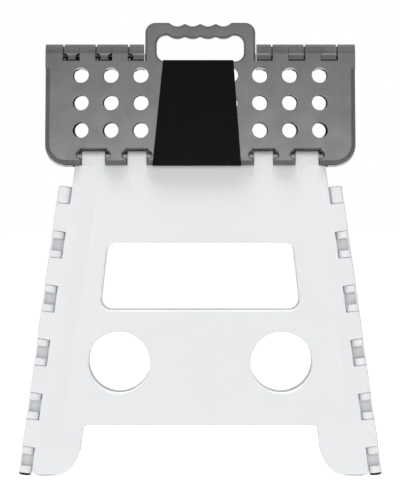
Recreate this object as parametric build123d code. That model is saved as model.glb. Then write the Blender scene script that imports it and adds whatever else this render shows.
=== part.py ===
from build123d import *
import os
from math import cos, radians, sin, tan

# Folding step stool, shown folded flat: two leg panels, two step halves that hang between them,
# and two pairs of side panels that fold inwards like a gusset.
# Origin on the floor under the middle, X along the width, Y front to back, Z up.

# Fold
FOLD_LEAN = 10.0            # lean of each step half and side panel when folded, degrees
ARM = 98.0                  # middle hinge to leg hinge, and edge hinge to middle hinge of a side
LEAN_SIN = sin(radians(FOLD_LEAN))
LEAN_COS = cos(radians(FOLD_LEAN))
LEAN_TAN = tan(radians(FOLD_LEAN))
HINGE_Y = ARM * LEAN_SIN    # leg hinge plane, distance from the middle plane when folded
PIN_HEIGHT = 304.0          # leg hinge axis above the floor
RIDGE_HEIGHT = PIN_HEIGHT + ARM * LEAN_COS
RUN = 0.4                   # running gap in the hinges
PIN_GAP = 0.2               # radial gap of a stub pin in its bore

# Step halves
STEP_HALF_WIDTH = 147.5
STEP_REACH = 107.5          # middle hinge axis to the outer edge
STEP_AXIS_DEPTH = 11.0      # both hinge axes below the standing surface
STEP_PLATE = 3.0
STEP_WALL = 2.8
STEP_CORNER = 20.0
STEP_EDGE_ROUND = 4.5
APRON_LOW = 7.2             # underside of the thin edge that laps over the leg, above the hinge axes
APRON_START = 104.6         # middle hinge axis to that thin edge
LEG_CLEAR_HALF = 121.0      # half width of the stretch that is open to the leg
LEG_ROOM = 8.0              # and its reach inwards from the leg hinge
LEG_ROOM_TOP = -1.0
SKIRT_LOW = -3.0            # lower end of the skirt at the outer edge
SKIRT_RISE_START = 86.0     # middle hinge axis to where the skirt starts to rise
HALF_CLEARANCE = 1.0        # each half stays this far from the middle plane when folded
MEETING_GAP = 0.3           # between the flat halves, on each side
HOLE_RADIUS = 7.5
HOLE_PITCH_X = 28.4
HOLE_PITCH_Y = 26.6
HOLE_COLUMNS = 9
HOLE_ROWS = 3
FIRST_HOLE_ROW = 21.0       # middle hinge axis to the first row
RIB = 1.8
RIB_DEPTH = 7.0
CHEEK_RADIUS = 6.0
CHEEK_WIDTH = 6.5

# Middle hinge fingers, places measured from the middle of the width
FINGER_RADIUS = STEP_AXIS_DEPTH
FINGER_PITCH = 31.0
BACK_FINGER_START = 53.3
BACK_FINGER = 14.2
FINGER_SLOT = 1.5           # beside the outer end of each back finger
FRONT_FINGER_START = BACK_FINGER_START + BACK_FINGER + FINGER_SLOT
FRONT_FINGER = FINGER_PITCH - BACK_FINGER - FINGER_SLOT - RUN
END_FINGER = STEP_HALF_WIDTH - FRONT_FINGER_START - 2 * FINGER_PITCH
FINGERS = 3
FINGER_ROOT = 4.0
FINGER_NOTCH = 7.3          # middle hinge axis to the bottom of a finger's notch
COLLAR_RADIUS = 9.5         # closes a finger slot behind the axis
COLLAR_TOP = -1.5
STEP_PIN_RADIUS = 2.6
STEP_PIN_REACH = 5.0
BITE_RADIUS = 3.8           # round reliefs in the left back fingers, open to the front
BITE_TOP = 5.0

# Handle
HANDLE_HALF = 52.5
HANDLE_REACH = 30.3
HANDLE_ROOT = FINGER_RADIUS + RIB
HANDLE_CORNER = 10.0
HANDLE_THICK = 8.0
HANDLE_ROUND = 2.2
GRIP_HALF = 41.5
GRIP_LOW = -FINGER_NOTCH
GRIP_HIGH = 17.9
GRIP_CORNER = 8.5
ROOT_CORNER = 4.0           # width of plate kept beside the handle's root
WAVE_PITCH = 14.6
WAVE_COUNT = 4
DENT_RADIUS, DENT_DEPTH = 10.0, 3.5
BUMP_RADIUS, BUMP_DEPTH = 13.0, 3.2
WAVE_ROUND = 3.0            # softens the crests between the waves
NOTCH_GAP = 1.1
NOTCH_DEPTH = 33.0          # middle hinge axis to the far side of the handle's notch

# Leg panels
SPLAY = 8.2                 # slant of the outer edges in the front view, degrees
SPLAY_SIN = sin(radians(SPLAY))
SPLAY_COS = cos(radians(SPLAY))
SPLAY_TAN = tan(radians(SPLAY))
BASE_HALF_WIDTH = 174.4     # outer edge at floor level
LEG_FRONT = 6.5             # front face ahead of the hinge plane
LEG_PLATE = 4.0
LEG_BACK = HINGE_Y - 5.5    # reach of the deep flanges behind the hinge plane
LEG_TUBE = HINGE_Y - 6.5    # reach of the tubes round the openings
LEG_RIM = HINGE_Y - 13.0    # reach of the shallow rim along the shoulder
FLANGE = 2.5
FLANGE_LAP = 0.5            # how far a flange reaches into the plate
LEG_EDGE_ROUND = 1.6
OPENING_ROUND = 1.0
SHOULDER = PIN_HEIGHT - 8.0
FOOT_BOTTOM = 0.8
FOOT_WIDTH = 56.0           # outer edge to inner side of a foot
FOOT_CORNER = 25.0
FOOT_TOE = 5.0
FOOT_FLOOR = 4.0
SOLE_INSET = 1.0            # keeps the sole clear of the lowest edge knuckle
CROSSBAR_LOW = 47.7
CROSSBAR_ROUND = 6.0
RECESS_BORDER = 24.0        # flat border strip beside the shallow middle field
RECESS_SLOPE = 13.0
RECESS_DEPTH = 2.2
SLOT_LOW, SLOT_HIGH = 157.5, 222.4
SLOT_HALF_LOW, SLOT_HALF_HIGH = 96.0, 88.5
SLOT_CORNER = 10.0
PORT_X, PORT_Z, PORT_RADIUS = 77.5, 107.9, 29.3
TAB_SPANS = ((50.8, 69.3), (90.2, 112.6))
TAB_RADIUS = 6.2
TAB_ROUND = 1.0
TAB_ROOT = 22.0             # hinge axis down to where a tab runs out into the field
TAB_ROOT_WIDTH = 3.2
TAB_NOTCH_GAP = 0.9
KEYHOLE_TOP = 92.7          # middle hinge axis to the top of a tab's notch in the plate
KEYHOLE_FLARE = 18.0        # slope of the notch's rim, degrees
LOBE_RADIUS = 3.6

# Edge hinges of the legs, places measured down the slanted axis from its top end
KNUCKLE = 6.25
KNUCKLE_ROUND = 2.0
AXIS_TOP = 275.3
END_KNUCKLE = 15.2
FIRST_WINDOW = 42.3
WINDOW = 25.6
WINDOW_PITCH = 51.9
WINDOWS = 5
EDGE_PIN_RADIUS = 2.2
EDGE_PIN_REACH = 3.2
POCKET_LENGTH, POCKET_DEPTH, POCKET_WALL = 11.8, 6.0, 1.2
STRIP_INNER = KNUCKLE + RUN

# Side panels
SIDE_START = 8.0            # plate starts clear of the leg's edge strip
SIDE_NEAR, SIDE_FAR = 0.5, 3.5
WEB_NEAR, WEB_FAR = -2.5, 2.0
WEB_LAP = 2.0
MID_KNUCKLE = 5.0
MID_PIN_RADIUS = 2.0
MID_PIN_REACH = 3.4
MID_KNUCKLE_GAP = 0.5       # widest gap between two knuckles that share a pin
MID_FRONT_SPANS = ((0.0, 11.4), (23.8, 35.2), (108.9, 114.9), (188.6, 199.1))
MID_BACK_SPANS = ((11.9, 23.3), (115.3, 121.3), (199.5, 210.0))
VIEW_MARGIN = 4.0           # side panels stand this far back from the leg openings
SIDE_CUT_CORNER = 6.0
ARCH_HALF = 124.0
ARCH_TOP = 54.5
SIDE_FOOT = 15.0            # the plate stops this far short of the lowest knuckle's end

# Pads and card
PAD_LENGTH, PAD_DEPTH, PAD_HEIGHT, PAD_CORNER = 18.0, 13.0, 3.2, 4.0
PAD_SHIFT = -1.0            # inwards from the middle of the foot
PAD_SETBACK = 3.0           # behind the leg's front face
PAD_SEAT_GAP = 0.05
SIDE_PAD_RADIUS, SIDE_PAD_HEIGHT, SIDE_PAD_ROUND = 5.8, 2.4, 1.6
CARD = 0.6
CARD_GAP = 0.1
CARD_TOP = (-35.5, 31.5)
CARD_LOW = (-45.4, 38.7)
CARD_TUCK = 4.0

TOUCH = 0.05                # places this close count as the same
FAR = 400.0                 # for cuts that go right through a panel
PAST_EDGE = 30.0            # for cuts that run out past the end of an edge


def span_box(x, y, z):
    """A box between pairs of limits."""
    centre = ((x[0] + x[1]) / 2, (y[0] + y[1]) / 2, (z[0] + z[1]) / 2)
    return Pos(*centre) * Box(x[1] - x[0], y[1] - y[0], z[1] - z[0])


def x_rod(radius, x, y=0.0, z=0.0):
    """A rod along X between two places."""
    return Pos((x[0] + x[1]) / 2, y, z) * Rot(0, 90, 0) * Cylinder(radius, x[1] - x[0])


def both_sides(solid):
    return solid + mirror(solid, about=Plane.YZ)


# Step halves, drawn flat: middle hinge axis on X through the origin, outer edge towards -Y


def finger_spans(start, width, last_width):
    widths = [width] * (FINGERS - 1) + [last_width]
    starts = [start + i * FINGER_PITCH for i in range(FINGERS)]
    return [(x, x + w) for x, w in zip(starts, widths)]


FRONT_FINGERS = finger_spans(FRONT_FINGER_START, FRONT_FINGER, END_FINGER)
BACK_FINGERS = finger_spans(BACK_FINGER_START, BACK_FINGER, BACK_FINGER)


def step_shell():
    """Plate with a skirt that deepens outwards, so that the two halves close flat when folded."""
    outline = Rectangle(2 * STEP_HALF_WIDTH, STEP_REACH, align=(Align.CENTER, Align.MAX))
    outer_corners = outline.vertices().group_by(Axis.Y)[0]
    outline = fillet(outer_corners, STEP_CORNER)
    depth = STEP_AXIS_DEPTH + STEP_REACH * LEAN_TAN
    block = Pos(0, 0, STEP_AXIS_DEPTH - depth) * extrude(outline, depth)
    top_edges = block.faces().sort_by(Axis.Z)[-1].edges()
    block = fillet([e for e in top_edges if e.center().Y < -STEP_WALL], STEP_EDGE_ROUND)
    hollow = offset(outline, -STEP_WALL, kind=Kind.INTERSECTION)
    block -= Pos(0, 0, -FAR + STEP_AXIS_DEPTH - STEP_PLATE) * extrude(hollow, FAR)
    return block


def step_ribs():
    """Ribs under the plate, between the rows and columns of holes, and a deep wall beside the leg."""
    under = STEP_AXIS_DEPTH - STEP_PLATE
    low = under - RIB_DEPTH
    inner = STEP_HALF_WIDTH - STEP_WALL / 2
    ribs = Part()
    for row in range(HOLE_ROWS):
        y = -FIRST_HOLE_ROW - (row - 0.5) * HOLE_PITCH_Y
        y = min(y, -FINGER_RADIUS - RIB)
        ribs += span_box((-inner, inner), (y - RIB / 2, y + RIB / 2), (low, under))
    wall = LEG_ROOM - ARM
    ribs += span_box((-inner, inner), (wall, wall + RIB), (-FAR, under))
    for column in range(HOLE_COLUMNS + 1):
        x = (column - HOLE_COLUMNS / 2) * HOLE_PITCH_X
        ribs += span_box((x - RIB / 2, x + RIB / 2), (LEG_ROOM - ARM, -FINGER_RADIUS - RIB), (low, under))
    return ribs


def step_cheeks():
    """Lugs beside each leg tab that carry its stub pins."""
    cheeks = Part()
    for inner, outer in TAB_SPANS:
        for x in ((inner - TAB_NOTCH_GAP - CHEEK_WIDTH, inner - TAB_NOTCH_GAP),
                  (outer + TAB_NOTCH_GAP, outer + TAB_NOTCH_GAP + CHEEK_WIDTH)):
            lug = x_rod(CHEEK_RADIUS, x, -ARM)
            y = (-ARM - CHEEK_RADIUS, -ARM + CHEEK_RADIUS)
            lug += span_box(x, y, (0, STEP_AXIS_DEPTH - STEP_PLATE / 2))
            cheeks += lug
    return both_sides(cheeks)


def tab_notches():
    """Keyhole notches for the leg tabs, with their pin bores."""
    cuts = Part()
    under = STEP_AXIS_DEPTH - STEP_PLATE
    for inner, outer in TAB_SPANS:
        notch = (inner - TAB_NOTCH_GAP, outer + TAB_NOTCH_GAP)
        cuts += span_box(notch, (-FAR, -ARM + TAB_RADIUS + TAB_NOTCH_GAP), (-FAR, under))
        length = STEP_REACH + PAST_EDGE - KEYHOLE_TOP
        keyhole = Rectangle(notch[1] - notch[0], length, align=(Align.CENTER, Align.MAX))
        keyhole = Pos((inner + outer) / 2, -KEYHOLE_TOP) * keyhole
        for x in notch:
            keyhole += Pos(x, -ARM) * Circle(LOBE_RADIUS)
        cuts += extrude(keyhole, STEP_AXIS_DEPTH)
        cuts += Pos(0, 0, under) * extrude(keyhole, 2 * STEP_PLATE, taper=-KEYHOLE_FLARE)
        pins = (inner - STEP_PIN_REACH - RUN, outer + STEP_PIN_REACH + RUN)
        cuts += x_rod(STEP_PIN_RADIUS + PIN_GAP, pins, -ARM)
    return both_sides(cuts)


def hole_cutters():
    middle = -FIRST_HOLE_ROW - HOLE_PITCH_Y * (HOLE_ROWS - 1) / 2
    grid = GridLocations(HOLE_PITCH_X, HOLE_PITCH_Y, HOLE_COLUMNS, HOLE_ROWS)
    holes = Sketch() + grid * Circle(HOLE_RADIUS)
    return Pos(0, middle, 0) * extrude(holes, 2 * STEP_AXIS_DEPTH)


def fingers(spans):
    """Round hinge fingers about the middle axis, with a root that joins the plate."""
    solid = Part()
    for span in spans:
        solid += x_rod(FINGER_RADIUS, span)
        solid += span_box(span, (-FINGER_RADIUS - FINGER_ROOT, 0), (0, STEP_AXIS_DEPTH))
    return both_sides(solid)


def collars():
    """Half discs on the inner ends of the front fingers, which close the slots behind the axis."""
    discs = Part()
    for a, b in FRONT_FINGERS:
        discs += x_rod(COLLAR_RADIUS, (a - FINGER_SLOT + RUN, a))
    return both_sides(discs) - span_box((-FAR, FAR), (-FAR, FAR), (COLLAR_TOP, FAR))


def finger_notches(spans, before, after):
    """Room for the other half's fingers, with the gaps before and after each of them."""
    cuts = Part()
    for a, b in spans:
        notch = (a - before, b + after)
        cuts += x_rod(FINGER_RADIUS + RUN, notch)
        cuts += span_box(notch, (-FINGER_NOTCH, FAR), (-FAR, FAR))
    return both_sides(cuts)


def fold_trim():
    """Everything beyond the middle plane of the folded stool."""
    below = Pos(0, -FAR / 2, -FAR / 2) * Box(FAR, FAR, FAR)
    return Pos(0, 0, HALF_CLEARANCE) * Rot(FOLD_LEAN, 0, 0) * below


def skirt_rise():
    """What is taken off the skirt where it rises towards the outer corners."""
    low = HALF_CLEARANCE - SKIRT_RISE_START * LEAN_TAN
    points = [(-SKIRT_RISE_START, low), (-STEP_REACH, SKIRT_LOW), (-FAR, SKIRT_LOW), (-FAR, -FAR),
              (-SKIRT_RISE_START, -FAR)]
    return extrude(Plane.YZ * make_face(Polyline(*points, close=True)), FAR / 2, both=True)


def step_body():
    """What both halves share, before their fingers."""
    body = step_shell() + step_ribs()
    body -= fold_trim() + span_box((-FAR, FAR), (-MEETING_GAP, FAR), (-FAR, FAR))
    body -= skirt_rise()
    leg_x = (-LEG_CLEAR_HALF, LEG_CLEAR_HALF)
    body -= span_box(leg_x, (-FAR, LEG_ROOM - ARM), (-FAR, LEG_ROOM_TOP))
    body += step_cheeks()
    body -= span_box(leg_x, (-FAR, -APRON_START), (-FAR, APRON_LOW))
    return body - tab_notches()


def handle_outline():
    """Handle with four finger waves along its bar."""
    plate = Rectangle(2 * HANDLE_HALF, HANDLE_ROOT + HANDLE_REACH, align=(Align.CENTER, Align.MIN))
    plate = Pos(0, -HANDLE_ROOT) * fillet(plate.vertices().group_by(Axis.Y)[-1], HANDLE_CORNER)
    grip = Rectangle(2 * GRIP_HALF, GRIP_HIGH - GRIP_LOW, align=(Align.CENTER, Align.MIN))
    grip = Pos(0, GRIP_LOW) * fillet(grip.vertices(), GRIP_CORNER)
    waves = GridLocations(WAVE_PITCH, 1, WAVE_COUNT, 1)
    dents = waves * (Pos(0, HANDLE_REACH - DENT_DEPTH + DENT_RADIUS) * Circle(DENT_RADIUS))
    bumps = waves * (Pos(0, GRIP_HIGH - BUMP_DEPTH + BUMP_RADIUS) * Circle(BUMP_RADIUS))
    bar_zone = Pos(0, GRIP_HIGH) * Rectangle(2 * GRIP_HALF, 2 * BUMP_DEPTH)
    plate = soft_crests(plate - (Sketch() + dents), HANDLE_REACH)
    return plate - soft_crests(grip - ((Sketch() + bumps) & bar_zone), GRIP_HIGH)


def soft_crests(outline, level):
    """Rounds the points between the waves along a level of the bar."""
    straight = GRIP_HALF - GRIP_CORNER - TOUCH
    crests = [v for v in outline.vertices() if abs(v.Y - level) < BUMP_DEPTH and abs(v.X) < straight]
    return fillet(crests, WAVE_ROUND)


def handle():
    solid = Pos(0, 0, STEP_AXIS_DEPTH - HANDLE_THICK) * extrude(handle_outline(), HANDLE_THICK)
    rims = solid.faces().sort_by(Axis.Z)[-1].edges() + solid.faces().sort_by(Axis.Z)[0].edges()
    return fillet([e for e in rims if e.center().Y > GRIP_LOW - HANDLE_ROUND], HANDLE_ROUND)


def top_front():
    half = step_body()
    half -= finger_notches(BACK_FINGERS, RUN, FINGER_SLOT)
    half += fingers(FRONT_FINGERS) + collars()
    half -= span_box((-HANDLE_HALF, HANDLE_HALF), (-FINGER_NOTCH, FAR), (-FAR, FAR))
    root = HANDLE_HALF - ROOT_CORNER
    half -= span_box((-root, root), (-HANDLE_ROOT, FAR), (-FAR, FAR))
    half += handle()
    half -= hole_cutters()
    pins = Part()
    for a, b in FRONT_FINGERS:
        pins += x_rod(STEP_PIN_RADIUS, (a - STEP_PIN_REACH, min(b + STEP_PIN_REACH, STEP_HALF_WIDTH)))
    return half + both_sides(pins)


def top_back():
    """The rear half, drawn towards -Y like the front one."""
    half = step_body()
    half -= finger_notches(FRONT_FINGERS, FINGER_SLOT, RUN)
    half += fingers(BACK_FINGERS)
    notch = HANDLE_HALF + NOTCH_GAP
    rim_x = (-notch - STEP_WALL, notch + STEP_WALL)
    rim_y = (-NOTCH_DEPTH - STEP_WALL, -FINGER_NOTCH)
    half += span_box(rim_x, rim_y, (HALF_CLEARANCE, STEP_AXIS_DEPTH))
    half -= span_box((-notch, notch), (-NOTCH_DEPTH, FAR), (-FAR, FAR))
    half -= hole_cutters()
    bores = Part()
    bites = Part()
    for a, b in BACK_FINGERS:
        bores += x_rod(STEP_PIN_RADIUS + PIN_GAP, (a - RUN, b + RUN))
        for x in (a, b):
            if x > BACK_FINGER_START:
                bite = extrude(Circle(BITE_RADIUS), FAR / 2)
                bites += Pos(-x, 0, BITE_TOP - FAR / 2) * bite
    return half - both_sides(bores) - bites


def fold_front(flat):
    return Pos(0, 0, RIDGE_HEIGHT) * Rot(90 - FOLD_LEAN, 0, 0) * flat


def fold_back(flat):
    return mirror(fold_front(flat), about=Plane.XZ)


# Leg panel, drawn where the front one stands


def outer_x(z):
    return BASE_HALF_WIDTH - z * SPLAY_TAN


def inner_strip_x(z):
    return outer_x(z) - (KNUCKLE + STRIP_INNER) / SPLAY_COS


def slab(sketch, ahead, behind):
    """A sketch in X and Z, made solid between two places either side of the hinge plane."""
    return extrude(Plane.XZ.offset(HINGE_Y - behind) * sketch, ahead + behind)


def edge_point():
    return (-outer_x(AXIS_TOP) + KNUCKLE / SPLAY_COS, -HINGE_Y, AXIS_TOP)


EDGE_UP = Vector(SPLAY_SIN, 0, SPLAY_COS)
EDGE_IN = Vector(SPLAY_COS, 0, -SPLAY_SIN)
LEG_EDGE = Plane(origin=edge_point(), x_dir=EDGE_IN, z_dir=(0, -1, 0))
SIDE_OUT = EDGE_IN * LEAN_COS + Vector(0, 1, 0) * LEAN_SIN
SIDE_PLANE = Plane(origin=edge_point(), x_dir=SIDE_OUT, z_dir=SIDE_OUT.cross(EDGE_UP))


def edge_rod(radius, t, x=0.0):
    """A rod along a slanted axis, between two places down it."""
    return Pos(x, -(t[0] + t[1]) / 2, 0) * Rot(90, 0, 0) * Cylinder(radius, t[1] - t[0])


def window_spans():
    starts = [FIRST_WINDOW + i * WINDOW_PITCH for i in range(WINDOWS)]
    return [(start, start + WINDOW) for start in starts]


def corner_vertices(sketch, x, z):
    return [v for v in sketch.vertices() if abs(abs(v.X) - x) < TOUCH and abs(v.Y - z) < TOUCH]


def leg_outline():
    strip_top = AXIS_TOP - END_KNUCKLE * SPLAY_COS
    last_start, last_end = window_spans()[-1]
    strip_low = AXIS_TOP - (last_start + last_end) / 2 * SPLAY_COS
    toe = (inner_strip_x(FOOT_BOTTOM), FOOT_BOTTOM)
    heel = (outer_x(FOOT_BOTTOM) - FOOT_WIDTH, FOOT_BOTTOM)
    arch = (outer_x(CROSSBAR_LOW) - FOOT_WIDTH, CROSSBAR_LOW)
    right = [
        (inner_strip_x(SHOULDER), SHOULDER),
        (inner_strip_x(strip_top), strip_top),
        (outer_x(strip_top), strip_top),
        (outer_x(strip_low), strip_low),
        (inner_strip_x(strip_low), strip_low),
        toe, heel, arch,
    ]
    left = [(-x, z) for x, z in reversed(right)]
    outline = make_face(Polyline(*right, *left, close=True))
    outline = fillet(corner_vertices(outline, *toe), FOOT_TOE)
    outline = fillet(corner_vertices(outline, *heel), FOOT_CORNER)
    return fillet(corner_vertices(outline, *arch), CROSSBAR_ROUND)


def slot_outline(margin=0.0):
    half_low, half_high = SLOT_HALF_LOW + margin, SLOT_HALF_HIGH + margin
    low, high = SLOT_LOW - margin, SLOT_HIGH + margin
    corners = [(-half_low, low), (half_low, low), (half_high, high), (-half_high, high)]
    outline = make_face(Polyline(*corners, close=True))
    return fillet(outline.vertices(), SLOT_CORNER + margin)


def port_outlines(margin=0.0):
    port = Pos(PORT_X, PORT_Z) * Circle(PORT_RADIUS + margin)
    return port + mirror(port, about=Plane.YZ)


def middle_field():
    """The shallow field of the front face, with sloping sides that follow the slanted edges."""
    sections = []
    front = -HINGE_Y - LEG_FRONT
    for z in (-PAST_EDGE, SHOULDER + PAST_EDGE):
        narrow = outer_x(z) - RECESS_BORDER - RECESS_SLOPE
        wide = narrow + 2 * RECESS_SLOPE
        points = [(-wide, front - RECESS_DEPTH), (wide, front - RECESS_DEPTH),
                  (narrow, front + RECESS_DEPTH), (-narrow, front + RECESS_DEPTH)]
        sections.append(Pos(0, 0, z) * make_face(Polyline(*points, close=True)))
    return loft(sections, ruled=True)


def leg_tabs():
    """Round-topped tabs whose fronts run out into the middle field, with their stub pins."""
    front = LEG_FRONT - RECESS_DEPTH - FLANGE_LAP
    root = Line((-front, -TAB_ROOT), (TAB_ROOT_WIDTH - front, -TAB_ROOT))
    profile = make_hull(Circle(TAB_RADIUS).edges() + root.edges())
    tabs = Part()
    for start, end in TAB_SPANS:
        tab = extrude(Plane.YZ * profile, end - start)
        ends = tab.faces().sort_by(Axis.X)
        tab = fillet(ends[0].edges() + ends[-1].edges(), TAB_ROUND)
        tabs += Pos(start, -HINGE_Y, PIN_HEIGHT) * tab
        tabs += x_rod(STEP_PIN_RADIUS, (start - STEP_PIN_REACH, end + STEP_PIN_REACH), -HINGE_Y, PIN_HEIGHT)
    return both_sides(tabs)


def leg_flanges(outline):
    """Deep walls round the feet and crossbar, tubes round the openings and a rim along the shoulder."""
    inside = offset(outline, -FLANGE, kind=Kind.INTERSECTION)
    frame = outline - inside
    low_width = 2 * inner_strip_x(CROSSBAR_LOW)
    low = Pos(0, CROSSBAR_LOW / 2) * Rectangle(low_width, CROSSBAR_LOW + 3 * FLANGE)
    root = LEG_FRONT - LEG_PLATE + FLANGE_LAP
    walls = slab(frame & low, root, LEG_BACK)
    soles = Pos(0, FOOT_BOTTOM + FOOT_FLOOR / 2) * Rectangle(2 * (inner_strip_x(0) - SOLE_INSET), FOOT_FLOOR)
    walls += slab(outline & soles, root, LEG_BACK)
    tubes = slot_outline(FLANGE) + port_outlines(FLANGE)
    walls += slab(tubes, root, LEG_TUBE)
    top = Pos(0, SHOULDER - FLANGE / 2) * Rectangle(2 * inner_strip_x(SHOULDER), FLANGE)
    return walls + slab(top & outline, root, LEG_RIM)


def soft_front_edge(block, radius):
    """Rounds the outer front edge of a block that stands along a slanted axis."""
    outer_edges = block.edges().filter_by(Axis.Y).group_by(Axis.X)[0]
    return fillet(outer_edges.sort_by(Axis.Z)[-1:], radius)


def edge_strip():
    """The solid border that holds the edge hinge, with windows and bores for the side panel."""
    windows = window_spans()
    top, bottom = END_KNUCKLE + RUN, windows[-1][0]
    front = span_box((-KNUCKLE, STRIP_INNER), (-bottom, -top), (0, LEG_FRONT))
    strip = edge_rod(KNUCKLE, (top, bottom)) + soft_front_edge(front, KNUCKLE_ROUND)
    return both_sides(LEG_EDGE.location * strip)


def edge_cuts():
    across = (-PAST_EDGE, STRIP_INNER)
    through = (-PAST_EDGE, PAST_EDGE)
    cuts = span_box(across, (-END_KNUCKLE - RUN, PAST_EDGE), through)
    bore = EDGE_PIN_RADIUS + PIN_GAP
    depth = EDGE_PIN_REACH + RUN
    cuts += edge_rod(bore, (END_KNUCKLE, END_KNUCKLE + RUN + depth))
    for i, (a, b) in enumerate(window_spans()):
        last = i == WINDOWS - 1
        cuts += span_box(across, (-b - (PAST_EDGE if last else 0), -a), through)
        cuts += edge_rod(bore, (a - depth, b if last else b + depth))
    return both_sides(LEG_EDGE.location * cuts)


def leg_plate(outline, openings):
    """The front wall, with its edges, its middle field and the rims of its openings softened."""
    plate = slab(outline, LEG_FRONT, LEG_PLATE - LEG_FRONT)
    plate = fillet(plate.faces().sort_by(Axis.Y)[0].edges(), LEG_EDGE_ROUND)
    plate = plate - middle_field() - openings
    field_y = -HINGE_Y - LEG_FRONT + RECESS_DEPTH
    on_field = [e for e in plate.edges() if abs(e.center().Y - field_y) < TOUCH]
    inside = [e for e in on_field if CROSSBAR_LOW + FLANGE < e.center().Z < SLOT_HIGH + FLANGE]
    rims = [e for e in inside if abs(e.center().X) < PORT_X + PORT_RADIUS]
    return fillet(rims, OPENING_ROUND)


def front_leg():
    outline = leg_outline()
    openings = slab(slot_outline() + port_outlines(), FAR, FAR / 2)
    leg = leg_plate(outline, openings) + edge_strip() + leg_tabs() + leg_flanges(outline)
    leg -= openings + leg_pad_sockets()
    return leg - edge_cuts()


# Side panels, drawn flat: edge hinge axis on Y through the origin, middle hinge towards +X


def stub_span(knuckle, neighbours):
    """A middle knuckle with the stub pins that reach into the knuckles beside it."""
    start, end = knuckle
    above = any(abs(start - b) <= MID_KNUCKLE_GAP + RUN for a, b in neighbours)
    below = any(abs(a - end) <= MID_KNUCKLE_GAP + RUN for a, b in neighbours)
    return (start - above * MID_PIN_REACH, end + below * MID_PIN_REACH)


def edge_knuckles(windows):
    """The knuckles that fill the leg's windows, with their webs, stub pins and front pockets."""
    knuckles = Part()
    for t in [(0.0, END_KNUCKLE)] + [(a + RUN, b - RUN) for a, b in windows]:
        front = span_box((-KNUCKLE, 0), (-t[1], -t[0]), (0, KNUCKLE))
        knuckles += edge_rod(KNUCKLE, t) + soft_front_edge(front, KNUCKLE_ROUND)
        knuckles += span_box((0, SIDE_START + WEB_LAP), (-t[1], -t[0]), (WEB_NEAR, WEB_FAR))
    knuckles += edge_rod(EDGE_PIN_RADIUS, (0, END_KNUCKLE + EDGE_PIN_REACH))
    for i, (a, b) in enumerate(windows):
        low = b - RUN if i == WINDOWS - 1 else b + EDGE_PIN_REACH
        knuckles += edge_rod(EDGE_PIN_RADIUS, (a - EDGE_PIN_REACH, low))
        pocket_y = (-(a + b + POCKET_LENGTH) / 2, -(a + b - POCKET_LENGTH) / 2)
        pocket_z = (KNUCKLE - POCKET_DEPTH, KNUCKLE + RUN)
        knuckles -= span_box((POCKET_WALL - KNUCKLE, KNUCKLE), pocket_y, pocket_z)
    return knuckles


def side_half(own, other, stubs):
    """A side half with its own middle knuckles, and room for those of the other half."""
    windows = window_spans()
    length = windows[-1][1]
    panel = span_box((SIDE_START, ARM - MID_KNUCKLE - RUN), (-length, 0), (SIDE_NEAR, SIDE_FAR))
    panel += edge_knuckles(windows)
    for a, b in own:
        panel += edge_rod(MID_KNUCKLE, (a, b), ARM)
        panel += span_box((ARM - MID_KNUCKLE - WEB_LAP, ARM), (-b, -a), (SIDE_NEAR, SIDE_FAR))
    for knuckle in own:
        if stubs:
            panel += edge_rod(MID_PIN_RADIUS, stub_span(knuckle, other), ARM)
        else:
            bore = (knuckle[0] - RUN, knuckle[1] + RUN)
            panel -= edge_rod(MID_PIN_RADIUS + PIN_GAP, bore, ARM)
    panel -= span_box((KNUCKLE + PIN_GAP, FAR), (-FAR, SIDE_FOOT - length), (-FAR, FAR))
    return SIDE_PLANE.location * panel - side_cuts()


def side_cuts():
    """Openings behind those of the leg, so that the folded stool can be seen through."""
    cuts = slab(slot_outline(VIEW_MARGIN), FAR, FAR / 2)
    reach = PORT_RADIUS + VIEW_MARGIN
    port = Pos(0, PORT_Z) * Rectangle(2 * (PORT_X + reach), 2 * reach)
    cuts += slab(fillet(port.vertices(), SIDE_CUT_CORNER), FAR, FAR / 2)
    arch = Rectangle(2 * ARCH_HALF, 2 * ARCH_TOP)
    arch = fillet(arch.vertices().group_by(Axis.Y)[-1], FOOT_CORNER)
    return cuts + slab(arch, FAR, FAR / 2)


# Pads and card


def leg_pad_blank(grow=0.0):
    x = -outer_x(0) + FOOT_WIDTH / 2 + PAD_SHIFT
    y = -HINGE_Y - LEG_FRONT + PAD_SETBACK
    pad = span_box((x - PAD_LENGTH / 2 - grow, x + PAD_LENGTH / 2 + grow),
                   (y - grow, y + PAD_DEPTH + grow), (-grow, PAD_HEIGHT + grow))
    return fillet(pad.edges().filter_by(Axis.Z), PAD_CORNER)


def leg_pad_sockets():
    return both_sides(leg_pad_blank(PAD_SEAT_GAP))


def side_pad_blank():
    """A domed bumper on the lower end of a side panel's axis."""
    end = window_spans()[-1][1] - RUN
    section = Rectangle(SIDE_PAD_RADIUS, SIDE_PAD_HEIGHT, align=(Align.MIN, Align.MAX))
    section = fillet(section.vertices().group_by(Axis.Y)[0].sort_by(Axis.X)[-1:], SIDE_PAD_ROUND)
    dome = revolve(section, Axis.Y)
    return SIDE_PLANE.location * Pos(0, -end, 0) * dome


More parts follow.
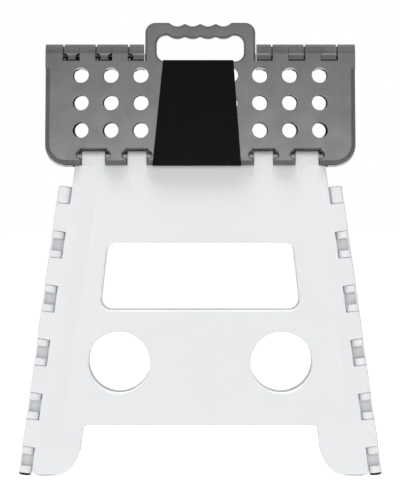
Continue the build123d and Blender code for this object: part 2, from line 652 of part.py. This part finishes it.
def card_sleeve():
    """A folded card round the front half: face, tuck through the handle and turn under the edge."""
    face_low = STEP_AXIS_DEPTH + CARD_GAP
    edge = -STEP_REACH - CARD_GAP
    top = GRIP_LOW + CARD_GAP
    corners = [(CARD_LOW[0], edge - CARD), (CARD_LOW[1], edge - CARD),
               (CARD_TOP[1], top + CARD), (CARD_TOP[0], top + CARD)]
    face = Pos(0, 0, face_low) * extrude(make_face(Polyline(*corners, close=True)), CARD)
    under = STEP_AXIS_DEPTH - HANDLE_THICK - CARD_GAP
    tuck = (max(CARD_TOP[0], GRIP_CORNER - GRIP_HALF), min(CARD_TOP[1], GRIP_HALF - GRIP_CORNER))
    face += span_box(tuck, (top, top + CARD), (under - CARD, face_low + CARD))
    face += span_box(tuck, (top - CARD_TUCK, top + CARD), (under - CARD, under))
    face += span_box(CARD_LOW, (edge - CARD, edge), (APRON_LOW, face_low + CARD))
    return face


def all_nodes():
    left_front = side_half(MID_FRONT_SPANS, MID_BACK_SPANS, True)
    left_back = mirror(side_half(MID_BACK_SPANS, MID_FRONT_SPANS, False), about=Plane.XZ)
    leg = front_leg()
    nodes = {
        "top_front": fold_front(top_front()),
        "top_back": fold_back(top_back()),
        "front_leg": leg,
        "back_leg": mirror(leg, about=Plane.XZ),
        "side_left_front": left_front,
        "side_left_back": left_back,
        "side_right_front": mirror(left_front, about=Plane.YZ),
        "side_right_back": mirror(left_back, about=Plane.YZ),
        "card_sleeve": fold_front(card_sleeve()),
    }
    for kind, blank in (("leg_pad", leg_pad_blank()), ("side_pad", side_pad_blank())):
        nodes[f"{kind}_front_left"] = blank
        nodes[f"{kind}_front_right"] = mirror(blank, about=Plane.YZ)
        nodes[f"{kind}_back_left"] = mirror(blank, about=Plane.XZ)
        nodes[f"{kind}_back_right"] = mirror(mirror(blank, about=Plane.XZ), about=Plane.YZ)
    return nodes


os.makedirs("parts", exist_ok=True)
for name, solid in all_nodes().items():
    export_step(solid, f"parts/{name}.step")
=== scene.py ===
"""Surfaces, stage and camera for a folding step stool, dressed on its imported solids."""

import bmesh
import bpy
from bpy.props import FloatProperty, FloatVectorProperty, IntProperty, PointerProperty
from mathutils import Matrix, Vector


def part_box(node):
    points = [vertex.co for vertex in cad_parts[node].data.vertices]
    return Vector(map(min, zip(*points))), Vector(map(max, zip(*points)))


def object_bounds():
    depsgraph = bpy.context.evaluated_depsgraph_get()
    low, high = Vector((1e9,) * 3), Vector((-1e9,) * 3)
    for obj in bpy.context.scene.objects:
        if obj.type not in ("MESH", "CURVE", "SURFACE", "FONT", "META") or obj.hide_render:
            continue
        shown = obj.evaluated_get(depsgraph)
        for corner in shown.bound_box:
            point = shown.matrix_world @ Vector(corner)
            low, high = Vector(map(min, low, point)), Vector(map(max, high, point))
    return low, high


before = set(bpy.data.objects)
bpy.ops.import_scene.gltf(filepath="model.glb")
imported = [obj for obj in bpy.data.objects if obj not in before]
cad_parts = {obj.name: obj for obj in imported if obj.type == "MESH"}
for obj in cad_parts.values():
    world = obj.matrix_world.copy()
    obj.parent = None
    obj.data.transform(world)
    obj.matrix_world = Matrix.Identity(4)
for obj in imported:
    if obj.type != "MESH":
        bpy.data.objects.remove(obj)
CAD_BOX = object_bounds()

bl_info = {
    "name": "Folding step stool",
    "version": (1, 0, 0),
    "blender": (4, 5, 0),
    "location": "View3D > Sidebar > Stool",
    "description": "Dresses the folding step stool and sets its studio",
    "category": "Object",
}

# Metres, with the lamps' places measured from the middle of the stool
FLOOR_HALF_WIDTH = 8.0
TOP_LAMP_SIZE = (1.2, 0.6)
TOP_LAMP_PLACE = Vector((-0.15, -0.42, 1.5))
FRONT_LAMP_SIZE = (0.8, 0.2)
FRONT_LAMP_PLACE = Vector((0.0, -2.0, 0.70))
BACK_LAMP_SIZE = (1.6, 0.8)
BACK_LAMP_PLACE = Vector((0.0, 1.7, 0.95))


class StoolColours(bpy.types.PropertyGroup):
    """Base colours, as linear values."""

    leg_white: FloatVectorProperty(
        name="Leg white", description="Moulded plastic of the legs and side panels",
        subtype="COLOR", size=3, min=0.0, max=1.0, default=(0.790, 0.801, 0.815))
    step_grey: FloatVectorProperty(
        name="Step grey", description="Moulded plastic of the two step halves",
        subtype="COLOR", size=3, min=0.0, max=1.0, default=(0.071, 0.071, 0.0719))
    pad_black: FloatVectorProperty(
        name="Pad black", description="Rubber of the soles and bumpers",
        subtype="COLOR", size=3, min=0.0, max=1.0, default=(0.012, 0.012, 0.013))
    card_black: FloatVectorProperty(
        name="Card black", description="Printed side of the card sleeve",
        subtype="COLOR", size=3, min=0.0, max=1.0, default=(0.0013, 0.0013, 0.0014))


class StoolFinish(bpy.types.PropertyGroup):
    """How soft the moulded edges look, and how far their shading reaches."""

    edge_round: FloatProperty(
        name="Edge rounding", description="Radius that an edge of the moulded plastic catches light over",
        subtype="DISTANCE", unit="LENGTH", min=0.0, default=0.0005, precision=5)
    # width of the edge band painted lighter: a painted sheen on plastic and rubber, the paper core on the
    # card
    edge_reach: FloatProperty(
        name="Edge reach", description="Width of the rubbed band along an edge",
        subtype="DISTANCE", unit="LENGTH", min=0.0, default=0.0008, precision=5)
    # how far the painted shade in corners and hollows spreads
    hollow_shade_reach: FloatProperty(
        name="Hollow reach", description="How far the dust in a corner spreads",
        subtype="DISTANCE", unit="LENGTH", min=0.0, default=0.004, precision=4)
    samples: IntProperty(
        name="Samples", description="Rays that look for edges and hollows", min=1, max=16, default=4)


class StoolStage(bpy.types.PropertyGroup):
    """Studio, camera and picture frame."""

    frame_width: IntProperty(
        name="Frame width", description="Picture width in pixels", subtype="PIXEL", default=401)
    frame_height: IntProperty(
        name="Frame height", description="Picture height in pixels", subtype="PIXEL", default=500)
    pixel: FloatProperty(
        name="Pixel", description="Width of one pixel at the front of the legs",
        subtype="DISTANCE", unit="LENGTH", default=0.00095, precision=6)
    floor_row: FloatProperty(
        name="Floor row", description="Picture row of the floor at the front of the legs", default=476.8)
    middle_column: FloatProperty(
        name="Middle column", description="Picture column of the middle of the stool", default=200.3)
    camera_distance: FloatProperty(
        name="Camera distance", description="From the lens to the front of the legs",
        subtype="DISTANCE", unit="LENGTH", min=0.3, default=2.4)
    camera_height: FloatProperty(
        name="Camera height", description="Lens above the floor",
        subtype="DISTANCE", unit="LENGTH", min=0.0, default=0.30)
    sky: FloatProperty(
        name="Sky", description="Even light of the studio", min=0.0, default=0.26)
    top_power: FloatProperty(
        name="Top lamp power", description="Soft lamp high above the front",
        unit="POWER", min=0.0, default=24.0)
    front_power: FloatProperty(
        name="Front lamp power", description="Soft lamp in front, above the camera's height",
        unit="POWER", min=0.0, default=8.2)
    back_power: FloatProperty(
        name="Back lamp power", description="Soft lamp behind the stool",
        unit="POWER", min=0.0, default=20.0)
    floor_lift: FloatProperty(
        name="Floor lift", description="Brightness that the floor keeps in shadow",
        min=0.0, max=1.0, default=0.78)
    floor_colour: FloatVectorProperty(
        name="Floor colour", description="Pale studio floor",
        subtype="COLOR", size=3, min=0.0, max=1.0, default=(0.94, 0.94, 0.94))


# Shader nodes


def add_node(tree, kind, place, inputs=None, **settings):
    """A node at a place in a tree, with its settings and input values."""
    node = tree.nodes.new(kind)
    node.location = place
    for name, value in settings.items():
        setattr(node, name, value)
    for name, value in (inputs or {}).items():
        node.inputs[name].default_value = value
    return node


def new_group(name, inputs, outputs):
    """An empty shader group with float or colour sockets, and its two end nodes."""
    group = bpy.data.node_groups.new(name, "ShaderNodeTree")
    for socket, kind, value in inputs:
        made = group.interface.new_socket(socket, in_out="INPUT", socket_type=kind)
        made.default_value = value
    for socket, kind in outputs:
        group.interface.new_socket(socket, in_out="OUTPUT", socket_type=kind)
    start = add_node(group, "NodeGroupInput", (-900, 0))
    end = add_node(group, "NodeGroupOutput", (600, 0))
    return group, start, end


def tone_drift_group():
    """Slow cloudy change of a colour, as uneven pigment in moulded plastic."""
    group = bpy.data.node_groups.get("tone_drift")
    if group:
        return group
    group, start, end = new_group(
        "tone_drift",
        [("Colour", "NodeSocketColor", (0.5, 0.5, 0.5, 1.0)),
         ("Scale", "NodeSocketFloat", 20.0),
         ("Amount", "NodeSocketFloat", 0.05)],
        [("Colour", "NodeSocketColor"), ("Cloud", "NodeSocketFloat")])
    place = add_node(group, "ShaderNodeTexCoord", (-900, -250))
    cloud = add_node(group, "ShaderNodeTexNoise", (-650, -150), {"Detail": 4.0, "Roughness": 0.55})
    centred = add_node(group, "ShaderNodeMath", (-430, -150), {1: 0.5}, operation="SUBTRACT")
    scaled = add_node(group, "ShaderNodeMath", (-250, -150), operation="MULTIPLY")
    factor = add_node(group, "ShaderNodeMath", (-70, -150), {1: 1.0}, operation="ADD")
    tinted = add_node(group, "ShaderNodeVectorMath", (150, 0), operation="SCALE")
    links = group.links
    links.new(place.outputs["Object"], cloud.inputs["Vector"])
    links.new(start.outputs["Scale"], cloud.inputs["Scale"])
    links.new(cloud.outputs["Fac"], centred.inputs[0])
    links.new(centred.outputs[0], scaled.inputs[0])
    links.new(start.outputs["Amount"], scaled.inputs[1])
    links.new(scaled.outputs[0], factor.inputs[0])
    links.new(start.outputs["Colour"], tinted.inputs[0])
    links.new(factor.outputs[0], tinted.inputs["Scale"])
    links.new(tinted.outputs[0], end.inputs["Colour"])
    links.new(cloud.outputs["Fac"], end.inputs["Cloud"])
    return group


def moulded_grain_group():
    """Fine spark-eroded grain of a mould, as a height and a roughness."""
    group = bpy.data.node_groups.get("moulded_grain")
    if group:
        return group
    group, start, end = new_group(
        "moulded_grain",
        [("Grain Scale", "NodeSocketFloat", 1800.0),
         ("Roughness", "NodeSocketFloat", 0.5),
         ("Spread", "NodeSocketFloat", 0.1)],
        [("Height", "NodeSocketFloat"), ("Roughness", "NodeSocketFloat")])
    place = add_node(group, "ShaderNodeTexCoord", (-900, -250))
    grain = add_node(group, "ShaderNodeTexNoise", (-650, 100), {"Detail": 2.0, "Roughness": 0.6})
    patch = add_node(group, "ShaderNodeTexNoise", (-650, -150), {"Scale": 65.0, "Detail": 3.0})
    low = add_node(group, "ShaderNodeMath", (-400, -250), operation="SUBTRACT")
    high = add_node(group, "ShaderNodeMath", (-400, -420), operation="ADD")
    spread = add_node(group, "ShaderNodeMapRange", (-150, -150))
    links = group.links
    links.new(place.outputs["Object"], grain.inputs["Vector"])
    links.new(place.outputs["Object"], patch.inputs["Vector"])
    links.new(start.outputs["Grain Scale"], grain.inputs["Scale"])
    for bound in (low, high):
        links.new(start.outputs["Roughness"], bound.inputs[0])
        links.new(start.outputs["Spread"], bound.inputs[1])
    links.new(patch.outputs["Fac"], spread.inputs["Value"])
    links.new(low.outputs[0], spread.inputs["To Min"])
    links.new(high.outputs[0], spread.inputs["To Max"])
    links.new(grain.outputs["Fac"], end.inputs["Height"])
    links.new(spread.outputs["Result"], end.inputs["Roughness"])
    return group


def edge_sheen_paper_core_hollow_shade_group():
    """Edges painted lighter and hollows painted darker, from the room inside and outside the surface: a
    painted sheen along edges of plastic and rubber, the pale paper core along the card's cut edge, and
    painted shade in hollows.
    """
    group = bpy.data.node_groups.get("edge_sheen_paper_core_hollow_shade")
    if group:
        return group
    group, start, end = new_group(
        "edge_sheen_paper_core_hollow_shade",
        [("Colour", "NodeSocketColor", (0.5, 0.5, 0.5, 1.0)),
         ("Room Inside", "NodeSocketFloat", 1.0),
         ("Room Outside", "NodeSocketFloat", 1.0),
         ("Edge Gain", "NodeSocketFloat", 0.2),
         ("Hollow Shade", "NodeSocketFloat", 0.2)],
        [("Colour", "NodeSocketColor"), ("Edge", "NodeSocketFloat")])
    # painted sheen: the less room inside the surface, the lighter the colour along an edge
    edge = add_node(group, "ShaderNodeMapRange", (-600, 150), {"From Min": 0.95, "From Max": 0.55})
    # painted shade: the less room outside the surface, the darker the colour in a hollow
    hollow = add_node(group, "ShaderNodeMapRange", (-600, -150), {"From Min": 0.95, "From Max": 0.35})
    gain = add_node(group, "ShaderNodeMath", (-380, 150), {2: 1.0}, operation="MULTIPLY_ADD")
    loss = add_node(group, "ShaderNodeMath", (-380, -150), operation="MULTIPLY")
    factor = add_node(group, "ShaderNodeMath", (-180, 0), operation="SUBTRACT")
    tinted = add_node(group, "ShaderNodeVectorMath", (100, 0), operation="SCALE")
    links = group.links
    links.new(start.outputs["Room Inside"], edge.inputs["Value"])
    links.new(start.outputs["Room Outside"], hollow.inputs["Value"])
    links.new(edge.outputs["Result"], gain.inputs[0])
    links.new(start.outputs["Edge Gain"], gain.inputs[1])
    links.new(hollow.outputs["Result"], loss.inputs[0])
    links.new(start.outputs["Hollow Shade"], loss.inputs[1])
    links.new(gain.outputs[0], factor.inputs[0])
    links.new(loss.outputs[0], factor.inputs[1])
    links.new(start.outputs["Colour"], tinted.inputs[0])
    links.new(factor.outputs[0], tinted.inputs["Scale"])
    links.new(tinted.outputs[0], end.inputs["Colour"])
    links.new(edge.outputs["Result"], end.inputs["Edge"])
    return group


def place_group(tree, group, place, inputs):
    """A node that uses a shared group, with its input values."""
    return add_node(tree, "ShaderNodeGroup", place, inputs, node_tree=group)


def moulded_material(name, colour, finish, drift, grain, edges, bump, shader_values):
    """Moulded plastic, rubber or card: drifting tone, edges painted lighter (a painted sheen, or the card's
    paper core), hollows painted darker as shade, and a fine grain.
    """
    material = bpy.data.materials.new(name)
    material.use_nodes = True
    material.diffuse_color = (*colour, 1.0)
    tree = material.node_tree
    shader = tree.nodes["Principled BSDF"]
    for socket, value in shader_values.items():
        shader.inputs[socket].default_value = value
    tone = place_group(tree, tone_drift_group(), (-900, 300), {"Colour": (*colour, 1.0), **drift})
    # occlusion inside finds edges for the painted sheen, occlusion outside finds hollows for the painted
    # shade
    inside = add_node(tree, "ShaderNodeAmbientOcclusion", (-900, 60), {"Distance": finish.edge_reach},
                      inside=True, only_local=True, samples=finish.samples)
    outside = add_node(tree, "ShaderNodeAmbientOcclusion", (-900, -150), {"Distance": finish.hollow_shade_reach},
                       only_local=True, samples=finish.samples)
    # base colour painted lighter along edges and darker in hollows
    pale_edges_and_shade = place_group(tree, edge_sheen_paper_core_hollow_shade_group(), (-650, 250), edges)
    texture = place_group(tree, moulded_grain_group(), (-650, -100), grain)
    rounding = add_node(tree, "ShaderNodeBevel", (-650, -350), {"Radius": finish.edge_round},
                        samples=finish.samples)
    relief = add_node(tree, "ShaderNodeBump", (-350, -200), bump)
    links = tree.links
    links.new(tone.outputs["Colour"], pale_edges_and_shade.inputs["Colour"])
    links.new(inside.outputs["AO"], pale_edges_and_shade.inputs["Room Inside"])
    links.new(outside.outputs["AO"], pale_edges_and_shade.inputs["Room Outside"])
    links.new(pale_edges_and_shade.outputs["Colour"], shader.inputs["Base Color"])
    links.new(texture.outputs["Roughness"], shader.inputs["Roughness"])
    links.new(texture.outputs["Height"], relief.inputs["Height"])
    links.new(rounding.outputs["Normal"], relief.inputs["Normal"])
    links.new(relief.outputs["Normal"], shader.inputs["Normal"])
    return material


def leg_plastic(colours, finish):
    """Satin white plastic of the legs and side panels."""
    return moulded_material(
        "leg_plastic", colours.leg_white, finish,
        drift={"Scale": 9.0, "Amount": 0.03},
        grain={"Grain Scale": 2600.0, "Roughness": 0.42, "Spread": 0.07},
        # no painted sheen on the white edges; hollows painted darker as shade
        edges={"Edge Gain": 0.0, "Hollow Shade": 0.12},
        bump={"Strength": 0.10, "Distance": 0.00004},
        shader_values={"IOR": 1.49})


def step_plastic(colours, finish):
    """Cloudy grey plastic of the step, with a soft sheen."""
    return moulded_material(
        "step_plastic", colours.step_grey, finish,
        drift={"Scale": 45.0, "Amount": 1.1},
        grain={"Grain Scale": 1500.0, "Roughness": 0.26, "Spread": 0.06},
        # edges painted lighter as a sheen, hollows painted darker as shade
        edges={"Edge Gain": 0.45, "Hollow Shade": 0.25},
        bump={"Strength": 0.30, "Distance": 0.00008},
        shader_values={"IOR": 1.49, "Specular IOR Level": 0.48})


def pad_rubber(colours, finish):
    """Matt black rubber of the pads."""
    return moulded_material(
        "pad_rubber", colours.pad_black, finish,
        drift={"Scale": 60.0, "Amount": 0.40},
        grain={"Grain Scale": 2200.0, "Roughness": 0.78, "Spread": 0.10},
        # edges painted lighter as a sheen, hollows painted darker as shade
        edges={"Edge Gain": 0.60, "Hollow Shade": 0.20},
        bump={"Strength": 0.35, "Distance": 0.00008},
        shader_values={"IOR": 1.52, "Specular IOR Level": 0.3})


def printed_card(colours, finish):
    """Plain black side of the card, with paler cut edges."""
    return moulded_material(
        "printed_card", colours.card_black, finish,
        drift={"Scale": 140.0, "Amount": 0.30},
        grain={"Grain Scale": 3200.0, "Roughness": 0.30, "Spread": 0.04},
        edges={"Edge Gain": 1.2, "Hollow Shade": 0.0},
        bump={"Strength": 0.12, "Distance": 0.00003},
        shader_values={"Specular IOR Level": 0.02})


# Finished pieces


def nodes_starting(*starts):
    """Names of the frame's pieces that begin with one of the given words."""
    return sorted(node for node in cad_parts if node.startswith(starts))


def finish_nodes(nodes, material):
    """Gives the solids their finish."""
    if not nodes:
        raise RuntimeError(f"no piece of the frame takes {material.name}")
    for node in nodes:
        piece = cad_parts[node]
        for slot in piece.material_slots:
            slot.material = material


class STOOL_OT_step_halves(bpy.types.Operator):
    """Finishes the two grey step halves"""

    bl_idname = "stool.step_halves"
    bl_label = "Step halves"

    def execute(self, context):
        scene = context.scene
        finish_nodes(nodes_starting("top_"), step_plastic(scene.stool_colours, scene.stool_finish))
        return {"FINISHED"}


class STOOL_OT_white_panels(bpy.types.Operator):
    """Finishes the two white legs and the four white side panels"""

    bl_idname = "stool.white_panels"
    bl_label = "White panels"

    def execute(self, context):
        scene = context.scene
        panels = nodes_starting("front_leg", "back_leg", "side_left", "side_right")
        finish_nodes(panels, leg_plastic(scene.stool_colours, scene.stool_finish))
        return {"FINISHED"}


class STOOL_OT_rubber_pads(bpy.types.Operator):
    """Finishes the soles under the legs and the bumpers under the side panels"""

    bl_idname = "stool.rubber_pads"
    bl_label = "Rubber pads"

    def execute(self, context):
        scene = context.scene
        pads = nodes_starting("leg_pad", "side_pad")
        finish_nodes(pads, pad_rubber(scene.stool_colours, scene.stool_finish))
        return {"FINISHED"}


class STOOL_OT_card_sleeve(bpy.types.Operator):
    """Finishes the black card round the step"""

    bl_idname = "stool.card_sleeve"
    bl_label = "Card sleeve"

    def execute(self, context):
        scene = context.scene
        finish_nodes(["card_sleeve"], printed_card(scene.stool_colours, scene.stool_finish))
        return {"FINISHED"}


# Stage


def seen_directly(tree, place):
    """A value of 1 where the camera, a mirror or glass looks at the surface."""
    path = add_node(tree, "ShaderNodeLightPath", place)
    mirrored = add_node(tree, "ShaderNodeMath", (place[0] + 200, place[1]), operation="MAXIMUM")
    through = add_node(tree, "ShaderNodeMath", (place[0] + 400, place[1]), operation="MAXIMUM")
    tree.links.new(path.outputs["Is Camera Ray"], mirrored.inputs[0])
    tree.links.new(path.outputs["Is Glossy Ray"], mirrored.inputs[1])
    tree.links.new(mirrored.outputs[0], through.inputs[0])
    tree.links.new(path.outputs["Is Transmission Ray"], through.inputs[1])
    return through.outputs[0]


def studio_sky(scene, stage):
    """Even white light, and a white background where it is seen."""
    world = bpy.data.worlds.new("studio_sky")
    world.use_nodes = True
    tree = world.node_tree
    background = tree.nodes["Background"]
    background.inputs["Color"].default_value = (1.0, 1.0, 1.0, 1.0)
    strength = add_node(tree, "ShaderNodeMapRange", (-250, 0), {"To Min": stage.sky, "To Max": 1.0})
    tree.links.new(seen_directly(tree, (-900, 0)), strength.inputs["Value"])
    tree.links.new(strength.outputs["Result"], background.inputs["Strength"])
    scene.world = world


def floor_material(stage):
    """A pale floor that stays near white where it is seen, and keeps shadows."""
    material = bpy.data.materials.new("studio_floor")
    material.use_nodes = True
    tree = material.node_tree
    shader = tree.nodes["Principled BSDF"]
    shader.inputs["Roughness"].default_value = 0.9
    shader.inputs["Specular IOR Level"].default_value = 0.0
    shader.inputs["Emission Color"].default_value = (1.0, 1.0, 1.0, 1.0)
    colour = (*stage.floor_colour, 1.0)
    tone = place_group(tree, tone_drift_group(), (-500, 200),
                       {"Colour": colour, "Scale": 3.0, "Amount": 0.01})
    lift = add_node(tree, "ShaderNodeMath", (-250, -250), {1: stage.floor_lift}, operation="MULTIPLY")
    tree.links.new(tone.outputs["Colour"], shader.inputs["Base Color"])
    tree.links.new(seen_directly(tree, (-900, -250)), lift.inputs[0])
    tree.links.new(lift.outputs[0], shader.inputs["Emission Strength"])
    return material


def studio_floor(stage, half_width):
    """A square floor under the stool."""
    mesh = bpy.data.meshes.new("studio_floor")
    shape = bmesh.new()
    bmesh.ops.create_grid(shape, x_segments=1, y_segments=1, size=half_width)
    shape.to_mesh(mesh)
    shape.free()
    mesh.materials.append(floor_material(stage))
    floor = bpy.data.objects.new("studio_floor", mesh)
    floor.location.z = CAD_BOX[0].z
    bpy.context.scene.collection.objects.link(floor)


def soft_lamp(name, power, size, place, target, mirrored):
    """An area lamp that points at a target, and shows in glossy surfaces only where it is mirrored."""
    lamp = bpy.data.lights.new(name, "AREA")
    lamp.energy = power
    lamp.shape = "RECTANGLE"
    lamp.size, lamp.size_y = size
    holder = bpy.data.objects.new(name, lamp)
    holder.location = place
    holder.rotation_euler = (target - holder.location).to_track_quat("-Z", "Y").to_euler()
    holder.visible_glossy = mirrored
    bpy.context.scene.collection.objects.link(holder)


def studio_camera(scene, stage):
    """A camera in front, framed so that one pixel is its stated width at the front of the legs."""
    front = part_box("front_leg")[0].y
    across = (stage.frame_width / 2 - stage.middle_column) * stage.pixel
    height = (stage.floor_row - stage.frame_height / 2) * stage.pixel
    aim = Vector((across, front, height))
    place = Vector((across, front - stage.camera_distance, stage.camera_height))
    camera = bpy.data.cameras.new("studio_camera")
    longest = max(stage.frame_width, stage.frame_height)
    camera.lens = camera.sensor_width * (aim - place).length / (longest * stage.pixel)
    holder = bpy.data.objects.new("studio_camera", camera)
    holder.location = place
    holder.rotation_euler = (aim - place).to_track_quat("-Z", "Y").to_euler()
    scene.collection.objects.link(holder)
    scene.camera = holder


class STOOL_OT_stage(bpy.types.Operator):
    """Sets the pale floor, the studio light and the camera"""

    bl_idname = "stool.stage"
    bl_label = "Stage"

    def execute(self, context):
        scene = context.scene
        stage = scene.stool_stage
        low, high = CAD_BOX
        middle = (low + high) / 2
        studio_sky(scene, stage)
        studio_floor(stage, FLOOR_HALF_WIDTH)
        soft_lamp("top_lamp", stage.top_power, TOP_LAMP_SIZE, middle + TOP_LAMP_PLACE, middle, False)
        soft_lamp("front_lamp", stage.front_power, FRONT_LAMP_SIZE, middle + FRONT_LAMP_PLACE, middle, True)
        soft_lamp("back_lamp", stage.back_power, BACK_LAMP_SIZE, middle + BACK_LAMP_PLACE, middle, False)
        studio_camera(scene, stage)
        scene.view_settings.view_transform = "Standard"
        return {"FINISHED"}


class STOOL_PT_panel(bpy.types.Panel):
    """Lists the stool's pieces and their settings"""

    bl_idname = "STOOL_PT_panel"
    bl_label = "Folding step stool"
    bl_space_type = "VIEW_3D"
    bl_region_type = "UI"
    bl_category = "Stool"

    def draw(self, context):
        for operator in OPERATORS:
            self.layout.operator(operator.bl_idname)
        for settings in GROUPS:
            group = getattr(context.scene, settings)
            for name in group.__annotations__:
                self.layout.prop(group, name)


OPERATORS = (
    STOOL_OT_step_halves,
    STOOL_OT_white_panels,
    STOOL_OT_rubber_pads,
    STOOL_OT_card_sleeve,
    STOOL_OT_stage,
)
GROUPS = {"stool_colours": StoolColours, "stool_finish": StoolFinish, "stool_stage": StoolStage}


def register():
    for settings, group in GROUPS.items():
        bpy.utils.register_class(group)
        setattr(bpy.types.Scene, settings, PointerProperty(type=group))
    for operator in OPERATORS:
        bpy.utils.register_class(operator)
    bpy.utils.register_class(STOOL_PT_panel)


def unregister():
    bpy.utils.unregister_class(STOOL_PT_panel)
    for operator in reversed(OPERATORS):
        bpy.utils.unregister_class(operator)
    for settings, group in reversed(GROUPS.items()):
        delattr(bpy.types.Scene, settings)
        bpy.utils.unregister_class(group)


def main():
    register()
    for operator in OPERATORS:
        area, name = operator.bl_idname.split(".")
        getattr(getattr(bpy.ops, area), name)()


if __name__ == "__main__":
    main()
